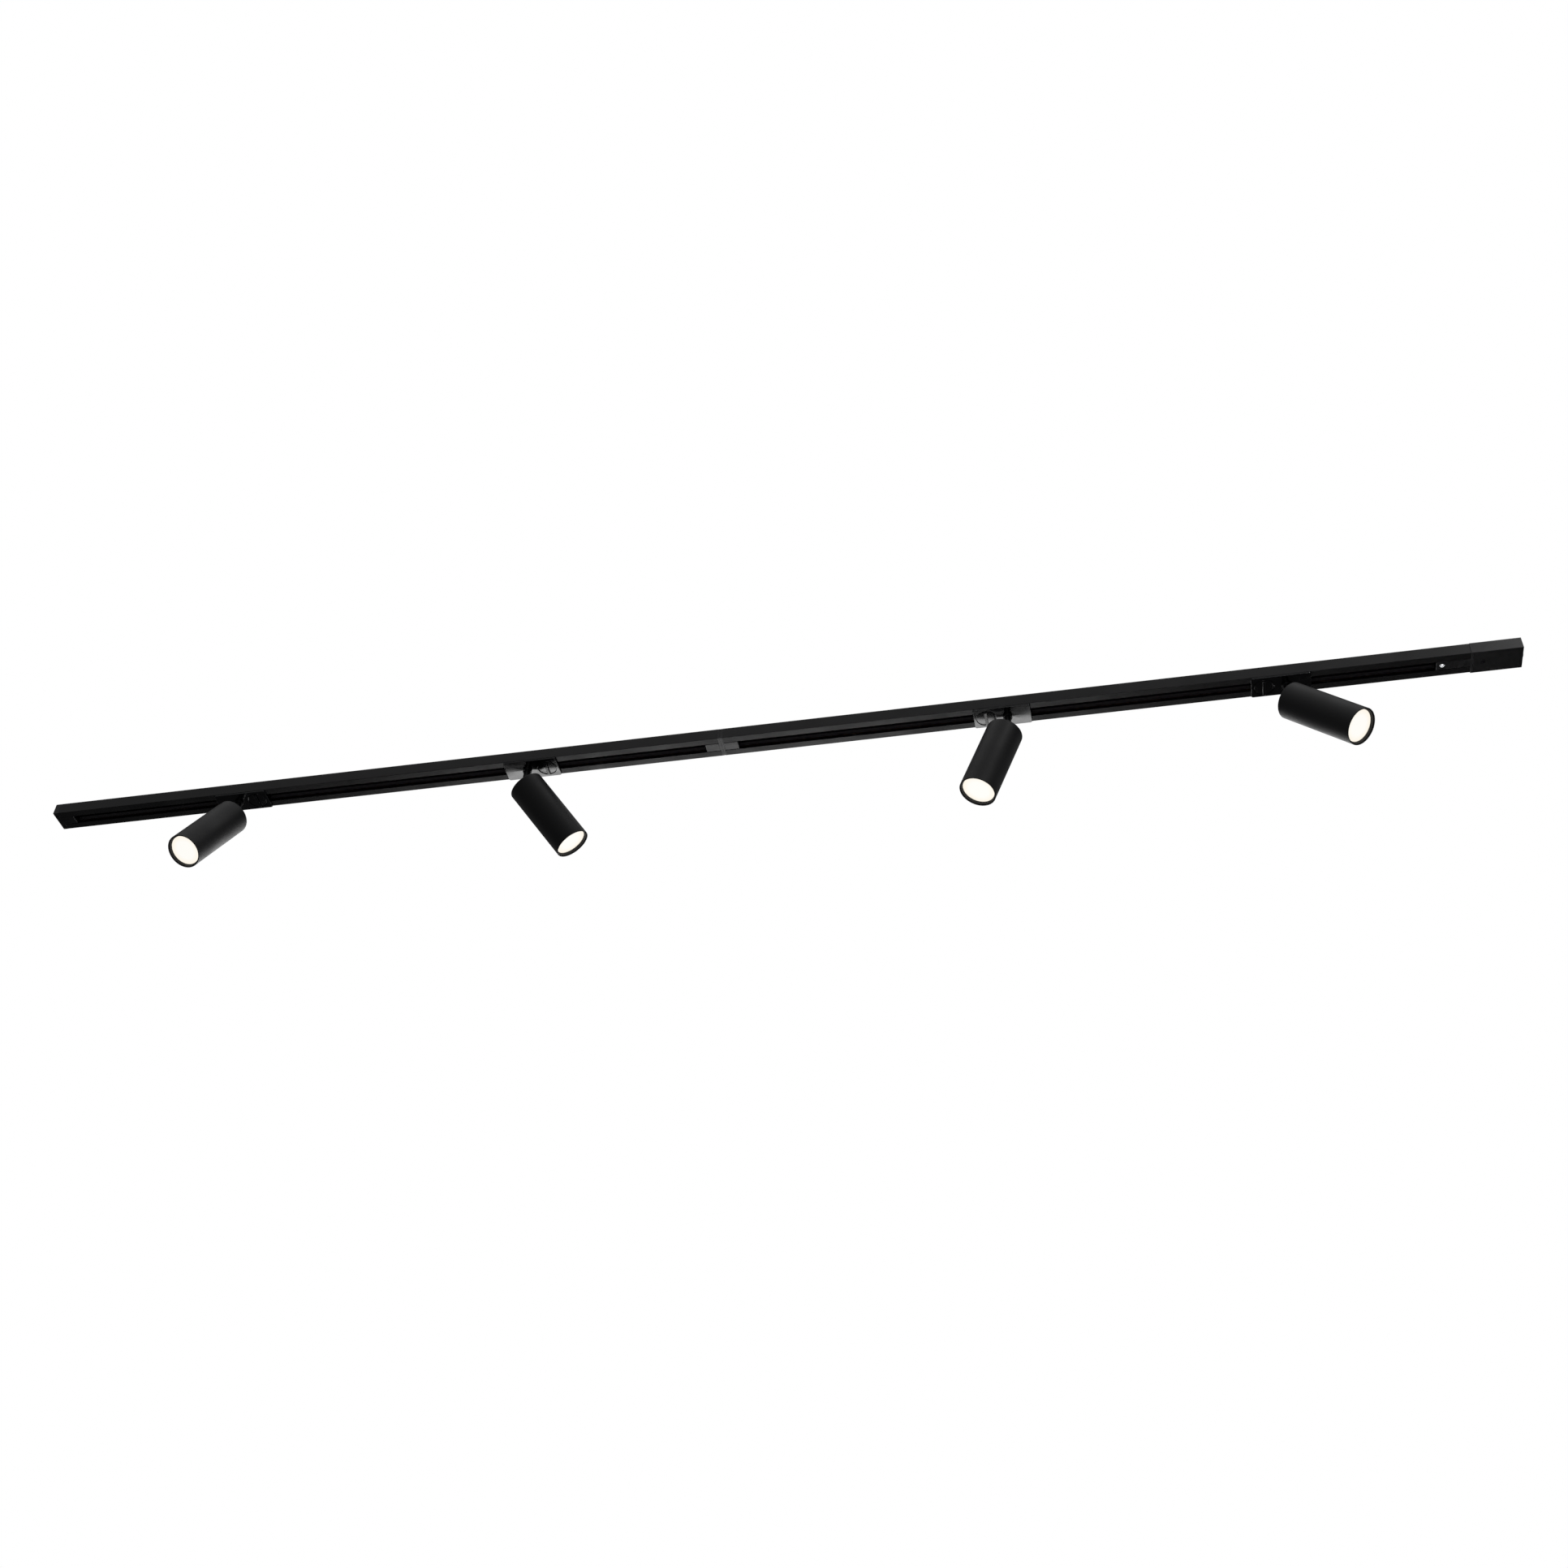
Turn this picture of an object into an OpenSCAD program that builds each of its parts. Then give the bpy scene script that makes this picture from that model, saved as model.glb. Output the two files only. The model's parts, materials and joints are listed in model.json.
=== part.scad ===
// Single-circuit track light: two surface rails joined in line, with a dead end, a live-end
// feed and four adjustable spot heads. X runs along the rails, Z is up, and the origin is at
// the middle of the joint, on the face that lies against the ceiling.

/* [Rails] */
// Length of one rail
rail_len = 1000; // [900:1:1100]
// Width of the rail
rail_w = 35; // [34:0.5:36]
// Height of the rail
rail_h = 18; // [17.5:0.5:19]
// Thickness of the rail's side walls
rail_wall = 1.5; // [1.2:0.1:1.6]
// Width of the slot along the underside
slot_w = 15; // [14.8:0.1:15.4]
// Distance between the two ceiling holes of one rail
hole_pitch = 640; // [630:1:650]
// Diameter of a ceiling hole
hole_d = 5; // [4:0.5:6]

/* [Connectors] */
// Length of the joiner's middle flange
joint_flange = 7; // [6:0.5:8]
// Length of the joiner, tip to tip
joiner_len = 47; // [44:1:50]
// Length of the dead end's cap
cap_len = 8; // [6:0.5:12]
// Length of the dead end's tongue inside the slot
cap_tongue = 20; // [15:1:25]
// Length of the feed's housing
feed_len = 65; // [62:1:68]
// How far the feed's housing stands proud of the rail on each side
feed_proud = 0.8; // [0.5:0.1:1]
// Length of the feed's tongue inside the slot
feed_tongue = 44; // [42:1:46]
// Diameter of the cable entry
cable_d = 8; // [7:0.5:9]

/* [Adapters] */
// Distance from the stem to the adapter's end past the latch knob
adapter_latch_end = 46; // [45:1:48]
// Distance from the stem to the adapter's plain end
adapter_plain_end = 32; // [30:1:34]
// Distance from the stem to the latch knob
latch_offset = 29; // [28:0.5:30]
// Diameter of the latch knob
knob_d = 27; // [25:0.5:27]
// Thickness of the adapter's plate below the rail
plate_t = 2.6; // [2.6:0.1:3]

/* [Spot heads] */
// Outer diameter of a head's tube
tube_d = 50; // [49.5:0.5:51]
// Length of a head's tube
tube_len = 118; // [115:1:125]
// Wall thickness of the tube
tube_wall = 1.2; // [1:0.1:1.4]
// Height of the tilt pivot below the rail's underside
pivot_drop = 43; // [41:1:45]
// Distance of the tilt pivot from the tube's rear end
pivot_depth = 6.5; // [6.5:0.5:8]
// Distance of the tube's centre line from the tilt pivot, on the side that the head leans to
tube_side = 8; // [6:0.5:8]
// Diameter of the stem
stem_d = 9; // [8:0.5:10]
// Diameter of the lamp's visible face
lens_d = 43.4; // [42:0.2:43.6]

/* [Pose] */
// Position of each head's stem along the rails
head_x = [-722.5, -283.5, 398, 768];
// Direction in which each head leans, seen from above
head_pan = [242.5, 25, 191.5, -20];
// Angle by which each head leans from straight down
head_tilt = [27.5, 40.5, 20, 42.5];
// Side of the stem on which each adapter's knob lies
knob_side = [1, 1, -1, -1];

/* [Hidden] */
HEAD_PARTS = ["adapter", "latch", "latch_contacts", "stem", "pivot_pin", "rear_cap", "tube",
              "lamp_holder", "lamp", "lamp_lens", "front_ring"];
RAIL_PARTS = ["track_left", "track_right", "insulators_left", "insulators_right",
              "conductors_left", "conductors_right", "joiner", "joiner_contacts", "end_cap",
              "feed_housing", "feed_cover", "feed_terminals", "feed_contacts", "feed_grommet",
              "cover_screw", "lock_screw"];
HEADS = len(head_x);

$fn = 64;
eps = 0.01;
// running clearance on a radius, and the free gap between pieces that only pass each other
run_gap = 0.05;
gap = 0.3;
// clearance between pieces that are fixed together
seat_gap = 0.02;

base_t = 1.8;
lip_t = 1.6;
lip_up = 2.2;
lip_edge = 1;
rail_start = joint_flange / 2;
rail_end = rail_start + rail_len;

// the insulator fills the side of the channel and has a ledge above the contact groove
ins_out = rail_w / 2 - rail_wall - seat_gap;
ins_top = -base_t - seat_gap;
ins_ledge_in = 7.9;
ins_ledge_z = -7;
ins_back = 12.2;
ins_foot_in = 9;
ins_foot_z = -13.2;
ins_low = -rail_h + lip_t + seat_gap;
copper_t = 1;
copper_h = 3;
copper_z = -10;
copper_in = ins_back - copper_t - seat_gap;

tongue_w = slot_w - 2 * gap;
tongue_top = -5;
arm_w = copper_in - gap;
blade_t = 0.8;
blade_h = 2;
// how far a blade stops short of what is ahead of it
blade_stop = 2;

plate_top = -rail_h - gap;
plate_low = plate_top - plate_t;
plate_w = rail_w - 0.4;
knob_t = 1.2;
ridge_h = 1.8;
ridge_w = 4;
latch_shaft_d = 8;
cam_low = ins_foot_z + gap;
cam_top = ins_ledge_z - gap;
cam_w = 12;
cam_r = copper_in - gap;

collar_d = 12.6;
collar_t = 3.2;
stem_flange_d = 12;
stem_flange_t = 2;
stem_top = -10;
pivot_z = -rail_h - pivot_drop;
pin_d = 3;

bore_d = tube_d - 2 * tube_wall;
inner_d = bore_d - 2 * seat_gap;
cap_t = 3;
stem_slot_w = stem_d + 0.8;
ear_t = 3;
ear_r = 6;
holder_depth = 42;
holder_t = 1.5;
socket_d = 27;
wire_hole_x = 19;
wire_hole_d = 4;
lamp_len = 51;
lamp_d = inner_d - 1;
lamp_rim = 7;
lamp_base_d = 25;
lamp_base_len = 14;
// how far the lamp's cone runs into its rim and its base
lamp_step = 1;
lamp_pin_x = 5;
lamp_pin_d = 5;
lamp_pin_len = 7;
lamp_face = 4.4;
ring_t = 3;
ring_d = 43.8;
lens_t = 1.4;
lens_proud = 0.1;

feed_wall = 1.8;
cover_t = 1.6;
cover_screw_x = rail_end + 15;
lock_screw_x = rail_end - 36;
lock_head_d = 7;
lock_seat_z = -rail_h + 2;
terminal_x = rail_end + 26;
terminal_len = 22;
terminal_low = -14;
terminal_hole_d = 4;
poles = 3;
pole_pitch = 7;
bush_d = cable_d + 3;
bush_lip_d = cable_d + 5.5;
bush_neck_d = cable_d + 2;
bush_lip = 1.2;
screw_d = 3;
screw_head_d = 5.8;
entry_z = -rail_h / 2;
feed_low = -rail_h - feed_proud;

module mirror_y() {
    children();
    mirror([0, 1, 0]) children();
}

// a bar along X: from, to, half width, low and high
module bar(x0, x1, half_w, z0, z1) {
    translate([x0, -half_w, z0]) cube([x1 - x0, 2 * half_w, z1 - z0]);
}

// a cylinder between two heights
module post(d, z0, z1) {
    translate([0, 0, z0]) cylinder(d = d, h = z1 - z0);
}

// extrudes a section drawn in Y and Z along X
module along_x(x0, x1) {
    translate([x0, 0, 0]) rotate([90, 0, 90]) linear_extrude(x1 - x0) children();
}

module rail_section() {
    difference() {
        translate([-rail_w / 2, -rail_h]) square([rail_w, rail_h]);
        translate([-rail_w / 2 + rail_wall, -rail_h + lip_t])
            square([rail_w - 2 * rail_wall, rail_h - base_t - lip_t]);
        translate([-slot_w / 2, -rail_h - 1]) square([slot_w, lip_t + 2]);
    }
    for (side = [-1, 1])
        translate([side * (slot_w / 2 + lip_edge / 2) - lip_edge / 2, -rail_h])
            square([lip_edge, lip_t + lip_up]);
}

// one rail with its two ceiling holes
module rail(x0) {
    color("#1c1c1f") difference() {
        along_x(x0, x0 + rail_len) rail_section();
        for (side = [-1, 1])
            translate([x0 + rail_len / 2 + side * hole_pitch / 2, 0, 0])
                post(hole_d, -base_t - 1, 1);
    }
}

// one side's strip: a ledge, a back wall and a foot, with a seat for the copper
module insulator_section() {
    difference() {
        translate([ins_ledge_in, ins_low])
            square([ins_out - ins_ledge_in, ins_top - ins_low]);
        translate([ins_ledge_in - 1, ins_foot_z])
            square([ins_back - ins_ledge_in + 1, ins_ledge_z - ins_foot_z]);
        translate([ins_ledge_in - 1, ins_low - 1])
            square([ins_foot_in - ins_ledge_in + 1, ins_foot_z - ins_low + 1 + eps]);
    }
}

module insulator_pair(x0) {
    color("#2a2a2e") mirror_y() along_x(x0, x0 + rail_len) insulator_section();
}

module conductor_pair(x0) {
    color("#b8714a") mirror_y()
        along_x(x0, x0 + rail_len)
            translate([copper_in, copper_z - copper_h / 2]) square([copper_t, copper_h]);
}

module track_left() {
    rail(-rail_end);
}

module track_right() {
    rail(rail_start);
}

module insulators_left() {
    insulator_pair(-rail_end);
}

module insulators_right() {
    insulator_pair(rail_start);
}

module conductors_left() {
    conductor_pair(-rail_end);
}

module conductors_right() {
    conductor_pair(rail_start);
}

// a tongue that lies flush in the slot, with two arms that reach into the contact grooves
module tongue(x0, x1) {
    bar(x0, x1, tongue_w / 2, -rail_h, tongue_top);
    bar(x0, x1, arm_w - blade_t - seat_gap, cam_low, cam_top);
}

module joiner() {
    tip = joiner_len / 2;
    groove = 0.6;
    color("#242427") difference() {
        union() {
            tongue(-tip, -rail_start);
            tongue(rail_start, tip);
            bar(-rail_start + seat_gap, rail_start - seat_gap, rail_w / 2, -rail_h, 0);
            bar(-rail_start - eps, rail_start + eps, tongue_w / 2, -rail_h, tongue_top);
        }
        // the fine groove around the middle of the flange
        for (side = [-1, 1])
            translate([-groove / 2, side * rail_w / 2 - groove / 2, -rail_h - 1])
                cube([groove, groove, rail_h + 2]);
        bar(-groove / 2, groove / 2, rail_w / 2 + 1, -rail_h - 1, -rail_h + groove / 2);
        mirror_y() translate([-tip - 1, arm_w - blade_t - seat_gap, copper_z - blade_h / 2 - seat_gap])
            cube([joiner_len + 2, 2, blade_h + 2 * seat_gap]);
    }
}

module joiner_contacts() {
    color("#c9a45c") mirror_y()
        translate([-joiner_len / 2 + blade_stop, arm_w - blade_t, copper_z - blade_h / 2])
            cube([joiner_len - 2 * blade_stop, blade_t, blade_h]);
}

module end_cap() {
    bevel = 1.2;
    color("#26262a") {
        bar(-rail_end, -rail_end + cap_tongue, tongue_w / 2, -rail_h, tongue_top);
        bar(-rail_end - cap_len + 2, -rail_end, rail_w / 2, -rail_h, 0);
        bar(-rail_end - cap_len, -rail_end - cap_len + 2 + eps, rail_w / 2 - bevel,
            -rail_h + bevel, -bevel);
    }
}

module feed_shell_section() {
    translate([-rail_w / 2 - feed_proud, -rail_h - feed_proud])
        square([rail_w + 2 * feed_proud, rail_h + feed_proud]);
}

module feed_housing() {
    room_x0 = rail_end + feed_wall;
    room_x1 = rail_end + feed_len - feed_wall;
    color("#2b2b2f") {
        difference() {
            union() {
                along_x(rail_end + seat_gap, rail_end + feed_len) feed_shell_section();
                tongue(rail_end - feed_tongue, rail_end + feed_wall);
            }
            // the wiring room, open below for the cover
            bar(room_x0, room_x1, rail_w / 2 + feed_proud - feed_wall, feed_low - 1, -feed_wall);
            translate([room_x1 - 1, 0, entry_z]) rotate([0, 90, 0])
                cylinder(d = bush_d, h = feed_wall + 2);
            // grooves for the two contact blades
            mirror_y()
                translate([rail_end - feed_tongue - 1, arm_w - blade_t - seat_gap,
                           copper_z - blade_h / 2 - seat_gap])
                    cube([feed_tongue + feed_wall + 2, 2, blade_h + 2 * seat_gap]);
            translate([lock_screw_x, 0, 0]) {
                post(lock_head_d + 2 * seat_gap, -rail_h - 1, lock_seat_z);
                post(screw_d + 2 * seat_gap, lock_seat_z - 1, 0);
            }
        }
        // the boss that the cover's screw bites into
        translate([cover_screw_x, 0, 0]) difference() {
            post(screw_d + 4, feed_low + cover_t + seat_gap, -feed_wall + eps);
            post(screw_d + 2 * seat_gap, feed_low, entry_z + 1);
        }
    }
}

module feed_cover() {
    color("#232327") difference() {
        bar(rail_end + feed_wall + seat_gap, rail_end + feed_len - feed_wall - seat_gap,
            rail_w / 2 + feed_proud - feed_wall - seat_gap, feed_low, feed_low + cover_t);
        translate([cover_screw_x, 0, 0]) {
            post(screw_d + 0.2, feed_low - 1, feed_low + cover_t + 1);
            post(screw_head_d + 0.2, feed_low - 1, feed_low + cover_t / 2);
        }
    }
}

module feed_terminals() {
    color("#d9d7cf") difference() {
        bar(terminal_x, terminal_x + terminal_len, poles * pole_pitch / 2, terminal_low,
            -feed_wall - seat_gap);
        for (n = [0:poles - 1])
            translate([terminal_x - 1, (n - (poles - 1) / 2) * pole_pitch, copper_z])
                rotate([0, 90, 0]) cylinder(d = terminal_hole_d, h = terminal_len + 2);
    }
}

module feed_contacts() {
    blade_x0 = rail_end - feed_tongue + blade_stop;
    color("#c9a45c") mirror_y()
        translate([blade_x0, arm_w - blade_t, copper_z - blade_h / 2])
            cube([terminal_x - blade_stop - blade_x0, blade_t, blade_h]);
}

// a rubber bush in the cable entry, with a lip on each side of the wall
module feed_grommet() {
    wall_in = rail_end + feed_len - feed_wall;
    full_len = 2 * bush_lip + feed_wall;
    color("#141414") translate([wall_in, 0, entry_z]) rotate([0, 90, 0]) difference() {
        union() {
            cylinder(d = bush_d - 2 * seat_gap, h = feed_wall);
            translate([0, 0, -bush_lip]) cylinder(d = bush_lip_d, h = bush_lip - seat_gap);
            translate([0, 0, feed_wall + seat_gap]) cylinder(d = bush_lip_d, h = bush_lip);
            translate([0, 0, -bush_lip]) cylinder(d = bush_neck_d, h = full_len);
        }
        translate([0, 0, -bush_lip - 1]) cylinder(d = cable_d, h = full_len + 2);
    }
}

// a slotted screw with a flat head, pointing up
module screw(head_d, low, head_t, shank_len) {
    slot_t = 0.8;
    difference() {
        union() {
            post(head_d, low, low + head_t);
            post(screw_d, low + head_t - eps, low + head_t + shank_len);
        }
        translate([-head_d, -slot_t / 2, low - 1]) cube([2 * head_d, slot_t, 1 + head_t / 2]);
    }
}

module cover_screw() {
    color("#4a4a4c") translate([cover_screw_x, 0, 0])
        screw(screw_head_d, feed_low, cover_t / 2 - seat_gap, 7);
}

module lock_screw() {
    head_t = 1.6;
    color("#e6e6e4") translate([lock_screw_x, 0, 0])
        screw(lock_head_d, lock_seat_z - head_t - seat_gap, head_t, 9);
}

module at_head(n) {
    translate([head_x[n - 1], 0, 0]) children();
}

module adapter_side(n) {
    at_head(n) rotate([0, 0, knob_side[n - 1] > 0 ? 0 : 180]) children();
}

module panned(n) {
    at_head(n) rotate([0, 0, head_pan[n - 1]]) children();
}

// the tube's own frame: pivot at the origin, front towards -Z, leaning towards +X
module tilted(n) {
    panned(n) translate([0, 0, pivot_z]) rotate([0, -head_tilt[n - 1], 0]) children();
}

// a plate along X with round corners
module round_plate(x0, x1, w, r, z0, z1) {
    translate([0, 0, z0]) linear_extrude(z1 - z0) union() {
        translate([x0 + r, -w / 2]) square([x1 - x0 - 2 * r, w]);
        translate([x0, -w / 2 + r]) square([x1 - x0, w - 2 * r]);
        for (x = [x0 + r, x1 - r], y = [-w / 2 + r, w / 2 - r])
            translate([x, y]) circle(r);
    }
}

module adapter() {
    recess_t = knob_t + 0.2;
    color("#1a1a1d") difference() {
        union() {
            round_plate(-adapter_plain_end, adapter_latch_end, plate_w, 3, plate_low, plate_top);
            bar(-adapter_plain_end + 2, adapter_latch_end - 2, tongue_w / 2,
                plate_top - eps, tongue_top);
        }
        translate([latch_offset, 0, 0]) {
            post(knob_d + 2 * gap, plate_low - 1, plate_low + recess_t);
            post(latch_shaft_d + 2 * run_gap, plate_low, cam_low);
            // room for the cam to turn
            post(2 * (cam_r + gap), cam_low - gap, cam_top + gap);
        }
        // the stem's bore and the room for its flange
        post(stem_d + 2 * run_gap, plate_low - 1, stem_top);
        post(stem_flange_d + 2 * gap, stem_top - stem_flange_t - gap, stem_top + gap);
    }
}

// a knob under the plate and a cam that hooks over both lips of the slot
module latch() {
    color("#202023") translate([latch_offset, 0, 0]) difference() {
        union() {
            post(knob_d, plate_low, plate_low + knob_t);
            intersection() {
                post(knob_d - 2, plate_low - ridge_h, plate_low + eps);
                bar(-ridge_w / 2, ridge_w / 2, knob_d, plate_low - ridge_h, plate_low + eps);
            }
            post(latch_shaft_d, plate_low + knob_t - eps, cam_top);
            intersection() {
                post(2 * cam_r, cam_low, cam_top);
                bar(-cam_w / 2, cam_w / 2, cam_r + 1, cam_low, cam_top);
            }
        }
        mirror_y() latch_blade(seat_gap);
    }
}

// one contact blade, grown by a margin where it is used to cut its seat
module latch_blade(margin) {
    blade_w = 5;
    root = 7;
    translate([-blade_w / 2 - margin, root - margin, copper_z - blade_h / 2 - margin])
        cube([blade_w + 2 * margin, cam_r, blade_h + 2 * margin]);
}

module latch_contacts() {
    color("#c9a45c") translate([latch_offset, 0, 0]) intersection() {
        mirror_y() latch_blade(0);
        post(2 * cam_r, cam_low, cam_top);
    }
}

// a rod with a flange held inside the adapter, a ringed collar and a drilled round end
module stem() {
    collar_top = plate_low - gap;
    ring = collar_t / 3;
    color("#1e1e21") difference() {
        union() {
            post(stem_flange_d, stem_top - stem_flange_t, stem_top);
            post(stem_d, pivot_z, stem_top - eps);
            post(collar_d, collar_top - ring, collar_top);
            post(collar_d - 1, collar_top - 2 * ring - eps, collar_top - ring + eps);
            post(collar_d, collar_top - collar_t, collar_top - 2 * ring);
            intersection() {
                post(stem_d, pivot_z - stem_d, pivot_z + 1);
                cross_pin(stem_d, stem_d + 2);
            }
        }
        cross_pin(pin_d + 2 * run_gap, stem_d + 2);
    }
}

// a cylinder across the stem at the pivot's height
module cross_pin(d, len) {
    translate([0, 0, pivot_z]) pivot_rod(d, len);
}

// a cylinder along Y about the origin
module pivot_rod(d, len) {
    rotate([90, 0, 0]) translate([0, 0, -len / 2]) cylinder(d = d, h = len);
}

module pivot_pin() {
    color("#b9bcc0") pivot_rod(pin_d, stem_slot_w + 2 * ear_t);
}

// the slot that lets the stem swing from the rear face round to the side
module stem_slot(reach) {
    post(stem_slot_w, -stem_slot_w, pivot_depth + 1);
    translate([0, -stem_slot_w / 2, 0]) cube([reach, stem_slot_w, pivot_depth + 1]);
    rotate([0, 90, 0]) cylinder(d = stem_slot_w, h = reach);
}

// moves from the pivot to the tube's centre line
module on_tube_axis() {
    translate([tube_side, 0, 0]) children();
}

module rear_cap() {
    color("#1d1d20") difference() {
        union() {
            on_tube_axis() post(inner_d, pivot_depth - cap_t, pivot_depth);
            for (side = [-1, 1])
                translate([0, side * (stem_slot_w + ear_t) / 2, 0]) {
                    pivot_rod(2 * ear_r, ear_t);
                    translate([-ear_r, -ear_t / 2, 0])
                        cube([2 * ear_r, ear_t, pivot_depth - cap_t + eps]);
                }
        }
        stem_slot(tube_d);
        pivot_rod(pin_d + 2 * seat_gap, tube_d);
    }
}

module tube() {
    color("#1b1b1e") difference() {
        on_tube_axis() difference() {
            post(tube_d, pivot_depth - tube_len, pivot_depth);
            post(bore_d, pivot_depth - tube_len - 1, pivot_depth + 1);
        }
        stem_slot(tube_d);
    }
}

// a plate across the tube with a ceramic socket and two keyholes for the lamp's pins
module lamp_holder() {
    front = lamp_back() + gap;
    top = pivot_depth - holder_depth;
    color("#e8e4d8") on_tube_axis() difference() {
        union() {
            post(inner_d, top - holder_t, top);
            post(socket_d, front, top - holder_t + eps);
        }
        for (side = [-1, 1]) {
            translate([side * lamp_pin_x, 0, 0])
                post(lamp_pin_d + 2 * gap, front - 1, lamp_back() + lamp_pin_len + 2);
            translate([side * wire_hole_x, 0, 0])
                post(wire_hole_d, top - holder_t - 1, top + 1);
        }
    }
}

function lamp_front() = pivot_depth - tube_len + lamp_face;
function lamp_back() = lamp_front() + lamp_len;

// a reflector lamp: a rim, a cone, a round base and two pins
module lamp() {
    front = lamp_front();
    back = lamp_back();
    color("#dcdcda") on_tube_axis() {
        difference() {
            union() {
                post(lamp_d, front, front + lamp_rim);
                translate([0, 0, front + lamp_rim - lamp_step])
                    cylinder(d1 = lamp_d - lamp_step, d2 = lamp_base_d - 2 * lamp_step,
                             h = lamp_len - lamp_rim - lamp_base_len + 2 * lamp_step);
                post(lamp_base_d, back - lamp_base_len, back);
            }
            post(lens_d + 2 * seat_gap, front - 1, front + lens_t);
        }
        for (side = [-1, 1])
            translate([side * lamp_pin_x, 0, 0]) post(lamp_pin_d, back - eps, back + lamp_pin_len);
    }
}

module lamp_lens() {
    color("#fff3da") on_tube_axis()
        post(lens_d, lamp_front() - lens_proud, lamp_front() + lens_t - seat_gap);
}

module front_ring() {
    back = lamp_front() - seat_gap - lens_proud;
    color("#2a2a2d") on_tube_axis() difference() {
        post(inner_d, back - ring_t, back);
        post(ring_d, back - ring_t - 1, back + 1);
    }
}

track_left();
track_right();
insulators_left();
insulators_right();
conductors_left();
conductors_right();
joiner();
joiner_contacts();
end_cap();
feed_housing();
feed_cover();
feed_terminals();
feed_contacts();
feed_grommet();
cover_screw();
lock_screw();
for (n = [1:HEADS]) {
    adapter_side(n) adapter();
    adapter_side(n) latch();
    adapter_side(n) latch_contacts();
    panned(n) stem();
    tilted(n) pivot_pin();
    tilted(n) rear_cap();
    tilted(n) tube();
    tilted(n) lamp_holder();
    tilted(n) lamp();
    tilted(n) lamp_lens();
    tilted(n) front_ring();
}
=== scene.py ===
import json
from math import atan2, cos, pi, radians, sin

import bmesh
import bpy
from mathutils import Matrix, Vector


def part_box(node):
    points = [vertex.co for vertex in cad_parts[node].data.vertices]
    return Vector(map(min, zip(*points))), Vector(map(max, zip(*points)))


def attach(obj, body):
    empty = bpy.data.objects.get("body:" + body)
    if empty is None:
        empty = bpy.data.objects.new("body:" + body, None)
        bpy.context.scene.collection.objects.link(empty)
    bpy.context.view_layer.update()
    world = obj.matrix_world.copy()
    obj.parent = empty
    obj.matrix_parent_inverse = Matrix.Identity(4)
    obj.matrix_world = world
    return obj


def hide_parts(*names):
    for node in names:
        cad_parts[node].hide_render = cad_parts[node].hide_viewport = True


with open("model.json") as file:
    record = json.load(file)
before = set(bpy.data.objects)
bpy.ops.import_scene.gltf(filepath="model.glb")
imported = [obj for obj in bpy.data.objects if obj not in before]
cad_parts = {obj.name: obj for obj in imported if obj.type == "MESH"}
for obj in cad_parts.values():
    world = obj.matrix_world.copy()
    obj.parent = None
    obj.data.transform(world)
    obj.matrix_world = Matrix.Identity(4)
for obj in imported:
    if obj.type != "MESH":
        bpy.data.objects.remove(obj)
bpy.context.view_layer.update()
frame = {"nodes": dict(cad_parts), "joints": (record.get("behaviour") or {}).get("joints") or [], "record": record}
mm = 0.001
spotCount = sum(joint["name"].startswith("head_tilt") for joint in frame["joints"])
print("frame loaded:", len(frame["nodes"]), "nodes and", spotCount, "spot heads")


# ---- camera, lights and floor ----

camera = {
    "lens": 43.1,
    "place": (0.5136, -1.8147, -1.8395),  # below the ceiling and in front of the rails
    "heading": 13.11,
    "pitch": 132.997,
    "roll": 2.833,
}
studio = {
    "backdrop": "#ffffff",
    "below": 0.03,  # brightness of the room under, beside and over the track
    "beside": 0.15,
    "above": 0.3,
    "floorDrop": 2.6,
    "floorSize": 30.0,
    "floorColour": "#e9e8e5",
    "floorLight": 0.6,  # the floor's own light, which keeps it pale in the dark room
}
panels = [
    # name, place, aim, width, height, power
    # lowPanel brightens the underside's far half and screwPanel makes the lock screw glint
    ("ceilingPanel", (0.0, -0.4, 3.4), (0.0, 0.0, -2.6), 4.5, 3.5, 22),
    ("lowPanel", (-0.6, 2.61, -2.3), (-0.6, 2.61, 0.0), 2.1, 0.62, 20),
    ("screwPanel", (1.54, 2.28, -2.3), (1.54, 2.28, 0.0), 0.14, 0.14, 0.35),
    ("sidePanel", (2.2, -1.7, 1.9), (0.9, 0.0, 0.0), 0.8, 0.8, 8),
    ("frontPanel", (0.3, -3.3, -3.4), (0.0, 0.0, 0.0), 2.0, 2.0, 30),
    ("backPanel", (-0.3, 3.4, 1.2), (0.0, 0.0, 0.0), 3.0, 1.6, 45),
]


def linear(colour):
    # sRGB hex to the linear values that the shaders take
    parts = [int(colour[i:i + 2], 16) / 255 for i in (1, 3, 5)]
    parts = [c / 12.92 if c < 0.04045 else ((c + 0.055) / 1.055) ** 2.4 for c in parts]
    return (*parts, 1.0)


def addNode(owner, kind, inputs=None, stops=None, **settings):
    # one node with its settings, its values and the links into it
    node = owner.node_tree.nodes.new("ShaderNode" + kind)
    for name, value in settings.items():
        setattr(node, name, value)
    for place, (position, colour) in enumerate(stops or []):
        if place > 1:
            node.color_ramp.elements.new(position)
        node.color_ramp.elements[place].position = position
        shade = linear(colour) if isinstance(colour, str) else (colour, colour, colour, 1)
        node.color_ramp.elements[place].color = shade
    for name, value in (inputs or {}).items():
        if isinstance(value, bpy.types.NodeSocket):
            owner.node_tree.links.new(value, node.inputs[name])
        else:
            node.inputs[name].default_value = value
    return node


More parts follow.
